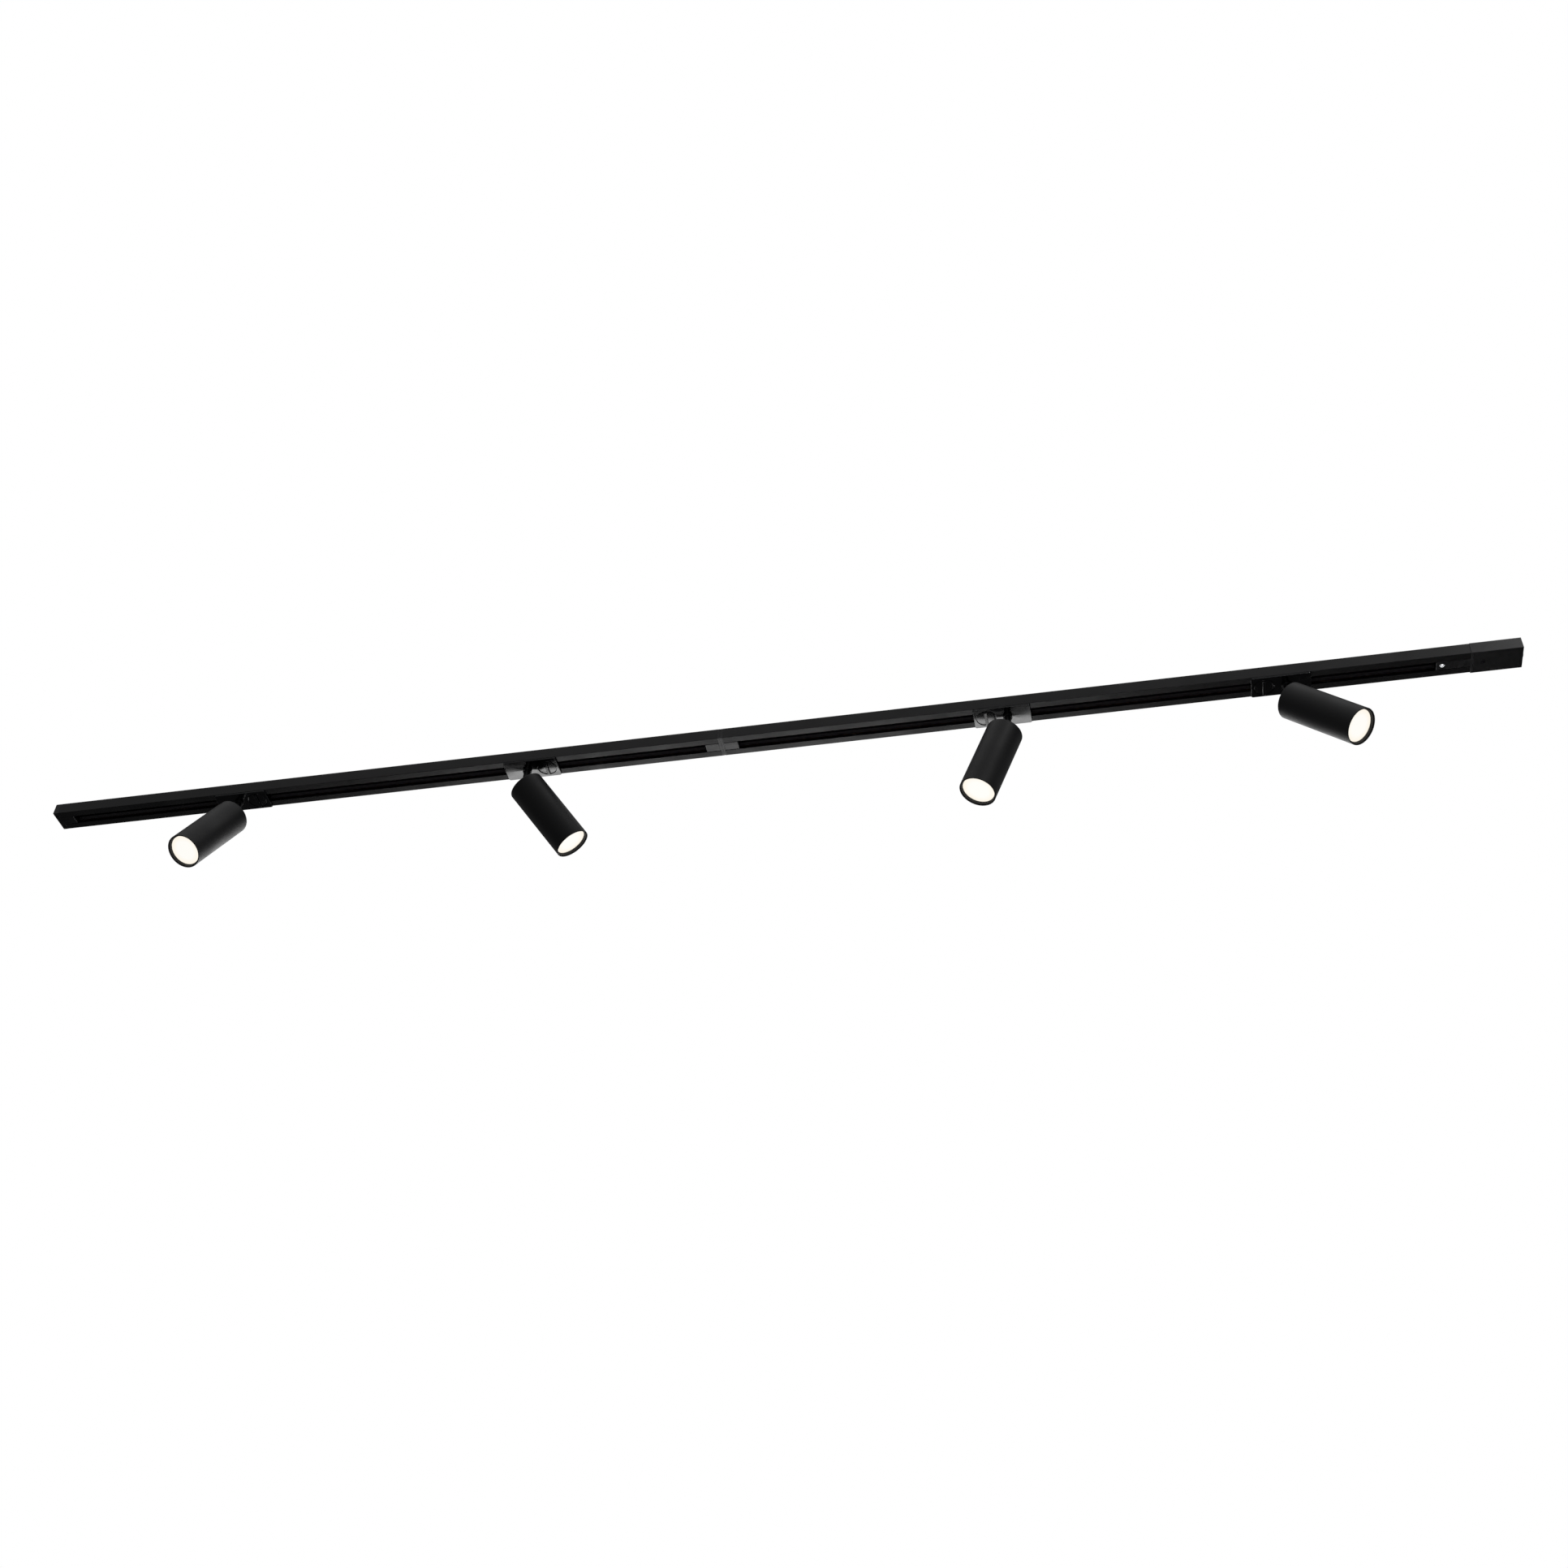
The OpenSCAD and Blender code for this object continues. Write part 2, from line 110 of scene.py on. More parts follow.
def addCamera():
    data = bpy.data.cameras.new("camera")
    data.lens = camera["lens"]
    data.sensor_width = 36
    seen = bpy.data.objects.new("camera", data)
    turn = Matrix.Rotation(radians(camera["heading"]), 4, "Z")
    turn @= Matrix.Rotation(radians(camera["pitch"]), 4, "X")
    turn @= Matrix.Rotation(radians(camera["roll"]), 4, "Z")
    seen.matrix_world = Matrix.Translation(camera["place"]) @ turn
    bpy.context.scene.collection.objects.link(seen)
    bpy.context.scene.camera = seen


def addPanel(name, place, aim, width, height, power):
    # a soft box: seen in reflections, never by the camera
    data = bpy.data.lights.new(name, "AREA")
    data.shape = "RECTANGLE"
    data.size = width
    data.size_y = height
    data.energy = power
    light = bpy.data.objects.new(name, data)
    light.location = place
    light.rotation_euler = (Vector(aim) - Vector(place)).to_track_quat("-Z", "Y").to_euler()
    light.visible_camera = False
    bpy.context.scene.collection.objects.link(light)


def addRoom():
    # the camera sees a white backdrop; the object is lit by a room that is darker below
    world = bpy.data.worlds.new("studio")
    world.use_nodes = True
    world.node_tree.nodes.clear()
    bpy.context.scene.world = world
    direction = addNode(world, "TexCoord").outputs["Generated"]
    height = addNode(world, "SeparateXYZ", {"Vector": direction}).outputs["Z"]
    slope = addNode(world, "MapRange", {"Value": height, "From Min": -1.0, "From Max": 1.0})
    stops = [(0.25, studio["below"]), (0.5, studio["beside"]), (1.0, studio["above"])]
    room = addNode(world, "ValToRGB", {"Fac": slope.outputs["Result"]}, stops=stops)
    lit = addNode(world, "Background", {"Color": room.outputs["Color"]})
    backdrop = addNode(world, "Background", {"Color": linear(studio["backdrop"])})
    looking = addNode(world, "LightPath").outputs["Is Camera Ray"]
    mixed = addNode(world, "MixShader", {0: looking, 1: lit.outputs[0], 2: backdrop.outputs[0]})
    addNode(world, "OutputWorld", {"Surface": mixed.outputs["Shader"]})


def addFloor():
    body = bmesh.new()
    bmesh.ops.create_grid(body, x_segments=1, y_segments=1, size=studio["floorSize"] / 2)
    bmesh.ops.translate(body, verts=body.verts, vec=(0, 0, -studio["floorDrop"]))
    mesh = bpy.data.meshes.new("floor")
    body.to_mesh(mesh)
    body.free()
    floor = bpy.data.objects.new("floor", mesh)
    bpy.context.scene.collection.objects.link(floor)
    floor.data.materials.append(paintedFloor())
    floor.visible_glossy = False  # keeps the pale floor from greying the black undersides
    floor.visible_diffuse = False  # and its own light from falling on them


# ---- materials ----

def startMaterial(name):
    material = bpy.data.materials.new(name)
    material.use_nodes = True
    material.node_tree.nodes.clear()
    return material, addNode(material, "TexCoord").outputs["Object"]


def finishMaterial(material, sockets):
    shader = addNode(material, "BsdfPrincipled", sockets)
    addNode(material, "OutputMaterial", {"Surface": shader.outputs["BSDF"]})
    return material


def perMetre(millimetres):
    # noise scale whose blotches are about this many millimetres across
    return 1 / (millimetres * mm)


def paintedFloor():
    # matt emulsion on board: pale, with a faint roller mottle
    material, place = startMaterial("floorEmulsion")
    mottle = addNode(material, "TexNoise", {"Vector": place, "Scale": perMetre(400), "Detail": 4.0})
    stops = [(0.3, studio["floorColour"]), (0.7, "#ecebe8")]
    colour = addNode(material, "ValToRGB", {"Fac": mottle.outputs[0]}, stops=stops)
    rough = addNode(material, "MapRange", {"Value": mottle.outputs[0], "To Min": 0.7, "To Max": 0.9})
    return finishMaterial(material, {
        "Base Color": colour.outputs[0], "Roughness": rough.outputs[0],
        "Emission Color": colour.outputs[0], "Emission Strength": studio["floorLight"]})


powderCoats = {
    # colour, patch: the coat and its cloudier areas; worn: where edges are rubbed
    # peel: width of the orange peel in mm, drawn 3 times coarser than real so that it shows
    "rail_black": {
        "colour": "#131316", "patch": "#18181b", "worn": "#3c3c41", "rough": 0.34, "peel": 1.1, "depth": 0.03,
    },
    "stem_black": {
        "colour": "#18181a", "patch": "#1e1e21", "worn": "#46464b", "rough": 0.3, "peel": 0.7, "depth": 0.02,
    },
    "head_black": {
        "colour": "#17171a", "patch": "#1c1c1f", "worn": "#34343a", "rough": 0.55, "peel": 0.8, "depth": 0.05,
    },
    "ring_black": {
        "colour": "#1b1b1d", "patch": "#222225", "worn": "#3a3a3f", "rough": 0.45, "peel": 0.6, "depth": 0.02,
    },
}


def powderCoat(slot):
    # polyester powder sprayed on aluminium and baked: a fine orange peel softens each highlight
    look = powderCoats[slot]
    material, place = startMaterial(slot + "PowderCoat")
    peel = addNode(material, "TexNoise", {"Vector": place, "Scale": perMetre(look["peel"]), "Detail": 3.0})
    cloud = addNode(material, "TexNoise", {"Vector": place, "Scale": perMetre(55), "Detail": 5.0})
    coat = addNode(material, "ValToRGB", {"Fac": cloud.outputs[0]},
                   stops=[(0.35, look["colour"]), (0.68, look["patch"])])
    edge = addNode(material, "Attribute", attribute_name="edge")
    nicks = addNode(material, "TexNoise", {"Vector": place, "Scale": perMetre(7), "Detail": 6.0})
    broken = addNode(material, "MapRange", {"Value": nicks.outputs[0], "From Min": 0.42, "From Max": 0.66})
    rubbed = addNode(material, "Math", {0: edge.outputs["Fac"], 1: broken.outputs[0]}, operation="MULTIPLY")
    colour = addNode(material, "Mix", {0: rubbed.outputs[0], 6: coat.outputs[0], 7: linear(look["worn"])},
                     data_type="RGBA")
    gloss = addNode(material, "MapRange", {
        "Value": cloud.outputs[0], "From Min": 0.3, "From Max": 0.7,
        "To Min": look["rough"] - 0.05, "To Max": look["rough"] + 0.07})
    polished = addNode(material, "MapRange", {
        "Value": rubbed.outputs[0], "To Min": 0.0, "To Max": -0.08})
    rough = addNode(material, "Math", {0: gloss.outputs[0], 1: polished.outputs[0]}, operation="ADD")
    bump = addNode(material, "Bump", {
        "Height": peel.outputs[0], "Strength": 0.5, "Distance": look["depth"] * mm})
    return finishMaterial(material, {
        "Base Color": colour.outputs[2], "Roughness": rough.outputs[0], "Normal": bump.outputs[0],
        "IOR": 1.5, "Specular IOR Level": 0.45})


mouldings = {
    # grain: spark-eroded texture of the tool in mm; flow: the streaks that the melt leaves
    "connector_black": {
        "colour": "#151518", "flow": "#1b1b1f", "worn": "#3c3c42", "rough": 0.3, "grain": 0.8, "depth": 0.02,
    },
    "adapter_black": {
        "colour": "#101013", "flow": "#15151a", "worn": "#2c2c32",
        "rough": 0.13, "grain": 2.5, "depth": 0.006,
    },
    "terminal_grey": {
        "colour": "#d6d4cc", "flow": "#c8c5bc", "worn": "#e4e2dc", "rough": 0.45, "grain": 0.8, "depth": 0.02,
    },
    "lamp_white": {
        "colour": "#dfdfdc", "flow": "#d3d2ce", "worn": "#ecece9", "rough": 0.3, "grain": 1.2, "depth": 0.01,
    },
}


def mouldedPlastic(slot):
    # injection-moulded polycarbonate or polyamide: even tool grain, slow flow marks, handled edges
    look = mouldings[slot]
    material, place = startMaterial(slot + "MouldedPlastic")
    drawn = addNode(material, "Mapping", {"Vector": place, "Scale": (0.3, 1.0, 1.0)})
    flow = addNode(material, "TexNoise", {
        "Vector": drawn.outputs[0], "Scale": perMetre(14), "Detail": 3.0, "Distortion": 0.8})
    tint = addNode(material, "ValToRGB", {"Fac": flow.outputs[0]},
                   stops=[(0.35, look["colour"]), (0.7, look["flow"])])
    grain = addNode(material, "TexVoronoi", {"Vector": place, "Scale": perMetre(look["grain"])})
    edge = addNode(material, "Attribute", attribute_name="edge")
    colour = addNode(material, "Mix", {0: edge.outputs["Fac"], 6: tint.outputs[0], 7: linear(look["worn"])},
                     data_type="RGBA")
    rough = addNode(material, "MapRange", {
        "Value": flow.outputs[0], "From Min": 0.3, "From Max": 0.7,
        "To Min": look["rough"] - 0.03, "To Max": look["rough"] + 0.05})
    bump = addNode(material, "Bump", {
        "Height": grain.outputs["Distance"], "Strength": 0.4, "Distance": look["depth"] * mm})
    return finishMaterial(material, {
        "Base Color": colour.outputs[2], "Roughness": rough.outputs[0], "Normal": bump.outputs[0],
        "IOR": 1.58})


ledgeHighlight = {"height": -7 * mm, "reach": 1.6 * mm, "worn": "#b4b4ba"}  # painted highlight: a pale band at the height of the ledge's lower edge, standing in for the light that edge catches; its colour sits under the key worn


def extrudedVinyl():
    # dark PVC pushed through a die: long die lines along the rail and a dull skin, with a painted highlight along
    # the ledge edge
    material, place = startMaterial("insulatorVinyl")
    along = addNode(material, "Mapping", {"Vector": place, "Scale": (0.02, 1.0, 1.0)})
    lines = addNode(material, "TexNoise", {"Vector": along.outputs[0], "Scale": perMetre(0.9), "Detail": 4.0})
    skin = addNode(material, "ValToRGB", {"Fac": lines.outputs[0]},
                   stops=[(0.3, "#26262a"), (0.7, "#323238")])
    # painted highlight: the mask named worn lightens a band at a fixed height where the far ledge's edge catches
    # light, broken up by the die lines; it is not wear
    height = addNode(material, "SeparateXYZ", {"Vector": place}).outputs["Z"]
    past = addNode(material, "Math", {0: height, 1: ledgeHighlight["height"]}, operation="SUBTRACT")
    away = addNode(material, "Math", {0: past.outputs[0]}, operation="ABSOLUTE")
    near = addNode(material, "MapRange", {
        "Value": away.outputs[0], "From Min": ledgeHighlight["reach"] / 2, "From Max": ledgeHighlight["reach"],
        "To Min": 1.0, "To Max": 0.0})
    highlightBreakup = addNode(material, "MapRange", {"Value": lines.outputs[0], "To Min": 0.5, "To Max": 1.0})
    worn = addNode(material, "Math", {0: near.outputs[0], 1: highlightBreakup.outputs[0]}, operation="MULTIPLY")
    colour = addNode(material, "Mix", {0: worn.outputs[0], 6: skin.outputs[0], 7: linear(ledgeHighlight["worn"])},
                     data_type="RGBA")
    rough = addNode(material, "MapRange", {"Value": lines.outputs[0], "To Min": 0.3, "To Max": 0.5})
    bump = addNode(material, "Bump", {
        "Height": lines.outputs[0], "Strength": 0.5, "Distance": 0.04 * mm})
    return finishMaterial(material, {
        "Base Color": colour.outputs[2], "Roughness": rough.outputs[0], "Normal": bump.outputs[0],
        "IOR": 1.54})


metals = {
    # bare: the clean metal; film: its tarnish; lines: drawing or turning marks in mm
    "copper": {"bare": "#7d6557", "film": "#3f3733", "rough": 0.32, "lines": 0.5, "stretch": (0.03, 1, 1)},
    "contact_brass": {
        "bare": "#d8bd74", "film": "#a98a4c", "rough": 0.28, "lines": 0.5, "stretch": (0.1, 1, 1),
    },
    "screw_black": {"bare": "#47474b", "film": "#2a2a2d", "rough": 0.42, "lines": 0.6, "stretch": (1, 1, 1)},
    "screw_bright": {"bare": "#f2f3f5", "film": "#dcdfe2", "rough": 0.14, "lines": 0.6, "stretch": (1, 1, 1)},
}


def workedMetal(slot):
    # drawn strip or a turned, plated screw: fine tool lines and a thin uneven tarnish
    look = metals[slot]
    material, place = startMaterial(slot + "Metal")
    drawn = addNode(material, "Mapping", {"Vector": place, "Scale": look["stretch"]})
    lines = addNode(material, "TexNoise", {
        "Vector": drawn.outputs[0], "Scale": perMetre(look["lines"]), "Detail": 3.0})
    tarnish = addNode(material, "TexNoise", {"Vector": place, "Scale": perMetre(6), "Detail": 5.0})
    colour = addNode(material, "ValToRGB", {"Fac": tarnish.outputs[0]},
                     stops=[(0.4, look["bare"]), (0.75, look["film"])])
    rough = addNode(material, "MapRange", {
        "Value": tarnish.outputs[0], "To Min": look["rough"] - 0.1, "To Max": look["rough"] + 0.14})
    bump = addNode(material, "Bump", {
        "Height": lines.outputs[0], "Strength": 0.4, "Distance": 0.02 * mm})
    return finishMaterial(material, {
        "Base Color": colour.outputs[0], "Metallic": 1.0, "Roughness": rough.outputs[0],
        "Normal": bump.outputs[0]})


def grommetRubber():
    # compression-moulded rubber: dead matt, with a dusty bloom
    material, place = startMaterial("grommetRubber")
    bloom = addNode(material, "TexNoise", {"Vector": place, "Scale": perMetre(3), "Detail": 6.0})
    colour = addNode(material, "ValToRGB", {"Fac": bloom.outputs[0]},
                     stops=[(0.4, "#141414"), (0.8, "#2a2a29")])
    rough = addNode(material, "MapRange", {"Value": bloom.outputs[0], "To Min": 0.7, "To Max": 0.95})
    bump = addNode(material, "Bump", {"Height": bloom.outputs[0], "Strength": 0.3, "Distance": 0.05 * mm})
    return finishMaterial(material, {
        "Base Color": colour.outputs[0], "Roughness": rough.outputs[0], "Normal": bump.outputs[0],
        "IOR": 1.52})


def firedSteatite():
    # pressed and fired unglazed ceramic: chalky cream with fine speckle
    material, place = startMaterial("socketSteatite")
    speck = addNode(material, "TexNoise", {"Vector": place, "Scale": perMetre(0.8), "Detail": 4.0})
    colour = addNode(material, "ValToRGB", {"Fac": speck.outputs[0]},
                     stops=[(0.3, "#d8d0be"), (0.6, "#eae4d6")])
    rough = addNode(material, "MapRange", {"Value": speck.outputs[0], "To Min": 0.5, "To Max": 0.75})
    bump = addNode(material, "Bump", {"Height": speck.outputs[0], "Strength": 0.4, "Distance": 0.06 * mm})
    return finishMaterial(material, {
        "Base Color": colour.outputs[0], "Roughness": rough.outputs[0], "Normal": bump.outputs[0],
        "IOR": 1.56})


glow = {"middle": "#fefcf7", "rim": "#fdf5e6", "cold": "#3a3936", "strength": 1.0}


def litDiffuser():
    # frosted polycarbonate lit from behind: even white that warms towards its rim
    material, place = startMaterial("lampDiffuser")
    spread = addNode(material, "Attribute", attribute_name="spread")
    tone = addNode(material, "ValToRGB", {"Fac": spread.outputs["Fac"]},
                   stops=[(0.6, glow["middle"]), (1.0, glow["rim"])])
    frost = addNode(material, "TexNoise", {"Vector": place, "Scale": perMetre(0.7), "Detail": 2.0})
    rough = addNode(material, "MapRange", {"Value": frost.outputs[0], "To Min": 0.4, "To Max": 0.6})
    bump = addNode(material, "Bump", {"Height": frost.outputs[0], "Strength": 0.3, "Distance": 0.03 * mm})
    return finishMaterial(material, {
        "Base Color": linear(glow["cold"]), "Roughness": rough.outputs[0], "Normal": bump.outputs[0],
        "Emission Color": tone.outputs[0], "Emission Strength": glow["strength"], "IOR": 1.58})


def makeMaterials():
    made = {slot: powderCoat(slot) for slot in powderCoats}
    made.update({slot: mouldedPlastic(slot) for slot in mouldings})
    made.update({slot: workedMetal(slot) for slot in metals})
    made["insulator_black"] = extrudedVinyl()
    made["grommet_rubber"] = grommetRubber()
    made["socket_ceramic"] = firedSteatite()
    made["lamp_glow"] = litDiffuser()
    return made


# ---- mesh tools ----

def boxIn(node, place=Matrix.Identity(4)):
    # lowest and highest corner of a CAD node, measured in the frame of another place
    back = place.inverted()
    points = [back @ vertex.co for vertex in frame["nodes"][node].data.vertices]
    low = Vector([min(p[i] for p in points) for i in range(3)])
    high = Vector([max(p[i] for p in points) for i in range(3)])
    return low, high


def block(low, high):
    body = bmesh.new()
    bmesh.ops.create_cube(body, size=1)
    middle = (Vector(low) + Vector(high)) / 2
    bmesh.ops.scale(body, verts=body.verts, vec=Vector(high) - Vector(low))
    bmesh.ops.translate(body, verts=body.verts, vec=middle)
    return body


def rod(radius, low, high, steps=64):
    # an upright cylinder between two heights
    body = bmesh.new()
    bmesh.ops.create_cone(body, cap_ends=True, segments=steps, radius1=radius, radius2=radius,
                          depth=high - low)
    bmesh.ops.translate(body, verts=body.verts, vec=(0, 0, (low + high) / 2))
    return body


def lathe(outline, closed=False, steps=96):
    # turns an outline of (radius, height) points about the upright axis
    body = bmesh.new()
    points = [body.verts.new((radius, 0, height)) for radius, height in outline]
    pairs = list(zip(points, points[1:])) + ([(points[-1], points[0])] if closed else [])
    lines = [body.edges.new(pair) for pair in pairs]
    bmesh.ops.spin(body, geom=points + lines, cent=(0, 0, 0), axis=(0, 0, 1), angle=2 * pi,
                   steps=steps, use_merge=True)
    bmesh.ops.remove_doubles(body, verts=body.verts, dist=0.001 * mm)
    bmesh.ops.recalc_face_normals(body, faces=body.faces)
    return body


def extrusion(outline, start, end):
    # pushes a section of (y, z) points along the rail
    body = bmesh.new()
    face = body.faces.new([body.verts.new((start, y, z)) for y, z in outline])
    pushed = bmesh.ops.extrude_face_region(body, geom=[face])["geom"]
    moved = [part for part in pushed if isinstance(part, bmesh.types.BMVert)]
    bmesh.ops.translate(body, verts=moved, vec=(end - start, 0, 0))
    bmesh.ops.recalc_face_normals(body, faces=body.faces)
    return body


def soften(body, width, segments=3, angle=40, only=None):
    # rounds the crisp edges and marks the new faces, so that the finish can show wear there
    bmesh.ops.recalc_face_normals(body, faces=body.faces)
    crisp = [e for e in body.edges if len(e.link_faces) == 2 and e.calc_face_angle() > radians(angle)]
    crisp = [e for e in crisp if only is None or only(e)]
    edge = body.faces.layers.float.get("edge") or body.faces.layers.float.new("edge")
    made = bmesh.ops.bevel(body, geom=crisp, offset=width, offset_type="OFFSET", segments=segments,
                           profile=0.5, affect="EDGES", clamp_overlap=True, material=-1)
    for face in made["faces"]:
        face[edge] = 1.0
    return body


def asObject(body, name):
    mesh = bpy.data.meshes.new(name)
    body.to_mesh(mesh)
    body.free()
    made = bpy.data.objects.new(name, mesh)
    bpy.context.scene.collection.objects.link(made)
    return made


def combine(piece, body, operation="DIFFERENCE"):
    # cuts a body out of the piece, or welds it on
    tool = asObject(body, "tool")
    change = piece.modifiers.new("combine", "BOOLEAN")
    change.object = tool
    change.operation = operation
    change.solver = "EXACT"
    changed = bpy.data.meshes.new_from_object(piece.evaluated_get(bpy.context.evaluated_depsgraph_get()))
    piece.modifiers.clear()
    piece.data = changed
    bpy.data.objects.remove(tool)
    return piece


def finishPiece(piece, node, body, slot, place=Matrix.Identity(4)):
    # merges, smooths, places and paints a piece, and lets it stand for its CAD node
    work = bmesh.new()
    work.from_mesh(piece.data)
    bmesh.ops.transform(work, matrix=place, verts=work.verts)
    bmesh.ops.remove_doubles(work, verts=work.verts, dist=0.002 * mm)
    bmesh.ops.recalc_face_normals(work, faces=work.faces)
    for face in work.faces:
        face.smooth = True
    work.to_mesh(piece.data)
    work.free()
    piece.data.set_sharp_from_angle(angle=radians(38))
    even = piece.modifiers.new("evenShading", "WEIGHTED_NORMAL")
    even.keep_sharp = True
    piece.data.materials.clear()
    piece.data.materials.append(materials[slot])
    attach(piece, body)
    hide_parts(node)
    return piece


materials = makeMaterials()
addCamera()
addRoom()
addFloor()
for panel in panels:
    addPanel(*panel)
bpy.context.scene.view_settings.view_transform = "Standard"
print("camera, studio and", len(materials), "materials ready")


# ---- the rails and what is fixed to them ----

rail = {
    "base": 1.8 * mm,
    "wall": 1.5 * mm,
    "lip": 1.6 * mm,
    "slot": 7.5 * mm,  # half of the slot's width
    "edge": 1.0 * mm,
    "rise": 2.2 * mm,
    "corner": 0.45 * mm,
    "lipRound": 0.2 * mm,
    "hole": 2.5 * mm,
    "holeSpan": 320 * mm,
}


def makeRail(node, name):
    low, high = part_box(node)
    half, under, r = high.y, low.z, rail
    right = [
        (half, 0), (half, under), (r["slot"], under), (r["slot"], under + r["lip"] + r["rise"]),
        (r["slot"] + r["edge"], under + r["lip"] + r["rise"]), (r["slot"] + r["edge"], under + r["lip"]),
        (half - r["wall"], under + r["lip"]), (half - r["wall"], -r["base"]),
    ]
    left = [(-y, z) for y, z in reversed(right)]
    body = extrusion(right + left, low.x, high.x)
    outer = lambda e: all(abs(v.co.y) > half - 0.1 * mm and v.co.z < -0.1 * mm for v in e.verts)
    soften(body, r["corner"], only=lambda e: outer(e) and abs(e.verts[0].co.x - e.verts[1].co.x) > 0.5)
    soften(body, r["lipRound"], segments=2, only=lambda e: abs(e.verts[0].co.x - e.verts[1].co.x) > 0.5)
    piece = asObject(body, name)
    for side in (-1, 1):
        drill = rod(r["hole"], -r["base"] - mm, mm, steps=32)
        bmesh.ops.translate(drill, verts=drill.verts, vec=((low.x + high.x) / 2 + side * r["holeSpan"], 0, 0))
        combine(piece, drill)
    return finishPiece(piece, node, "rail", "rail_black")


tongue = {"half": 7.2 * mm, "top": -5 * mm, "arms": 9.9 * mm, "armLow": -12.9 * mm, "armTop": -7.3 * mm}
joint = {"groove": 0.5 * mm, "tipRound": 0.8 * mm, "round": 0.35 * mm, "flange": 3.5 * mm}


def makeJoiner():
    low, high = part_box("joiner")
    flange = block((-joint["flange"], low.y, low.z), (joint["flange"], high.y, high.z))
    piece = asObject(soften(flange, joint["round"]), "jointFlange")
    width = tongue["half"]
    bar = soften(block((low.x, -width, low.z), (high.x, width, tongue["top"])), joint["tipRound"])
    combine(piece, bar, "UNION")
    arms = block((low.x + mm, -tongue["arms"], tongue["armLow"]),
                 (high.x - mm, tongue["arms"], tongue["armTop"]))
    combine(piece, arms, "UNION")
    g = joint["groove"]
    for side in (-1, 1):
        combine(piece, block((-g, side * high.y - g, low.z - mm), (g, side * high.y + g, mm)))
    combine(piece, block((-g, low.y - mm, low.z - mm), (g, high.y + mm, low.z + g)))
    for side in (-1, 1):  # a shallow sunk line where each tongue meets the flange
        x = side * joint["flange"]
        combine(piece, block((x - g, low.y - mm, low.z - mm), (x + g, high.y + mm, low.z + g)))
    return finishPiece(piece, "joiner", "rail", "connector_black")


deadEnd = {
    "round": 1.0 * mm,
    "edge": 0.25 * mm,
    "tipRound": 0.8 * mm,
    "dimple": 1.6 * mm,
    "dimpleDepth": 0.5 * mm,
    "dimpleSpread": 11 * mm,
}


def makeEndCap():
    low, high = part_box("end_cap")
    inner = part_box("track_left")[0].x
    shell = soften(block(low, (inner, high.y, high.z)), deadEnd["round"], segments=5,
                   only=lambda e: all(v.co.x < low.x + 0.1 * mm for v in e.verts))
    piece = asObject(soften(shell, deadEnd["edge"], segments=2), "endCapShell")
    bar = block((inner - mm, -tongue["half"], low.z), (high.x, tongue["half"], tongue["top"]))
    combine(piece, soften(bar, deadEnd["tipRound"], only=lambda e: e.verts[0].co.x > inner + mm), "UNION")
    for side in (-1, 1):  # the two moulded dimples that grip the cap when it is pulled
        dimple = rod(deadEnd["dimple"], low.z - mm, low.z + deadEnd["dimpleDepth"], steps=24)
        spot = ((low.x + inner) / 2 + mm, side * deadEnd["dimpleSpread"], 0)
        bmesh.ops.translate(dimple, verts=dimple.verts, vec=spot)
        combine(piece, dimple)
    return finishPiece(piece, "end_cap", "rail", "connector_black")


feed = {
    "round": 0.5 * mm,
    "wall": 1.8 * mm,
    "seam": 0.12 * mm,  # free line round the cover
    "cover": 1.6 * mm,
    "coverRound": 0.35 * mm,
    "hole": 5.5 * mm,
    "entryHeight": -9 * mm,
    "boss": 3.5 * mm,
    "lockSeat": 3.6 * mm,
    "thread": 1.5 * mm,
    "rib": 0.5 * mm,
    "ribReach": 4.5 * mm,
    "ribDepth": 0.6 * mm,
    "seatDepth": 2 * mm,
}


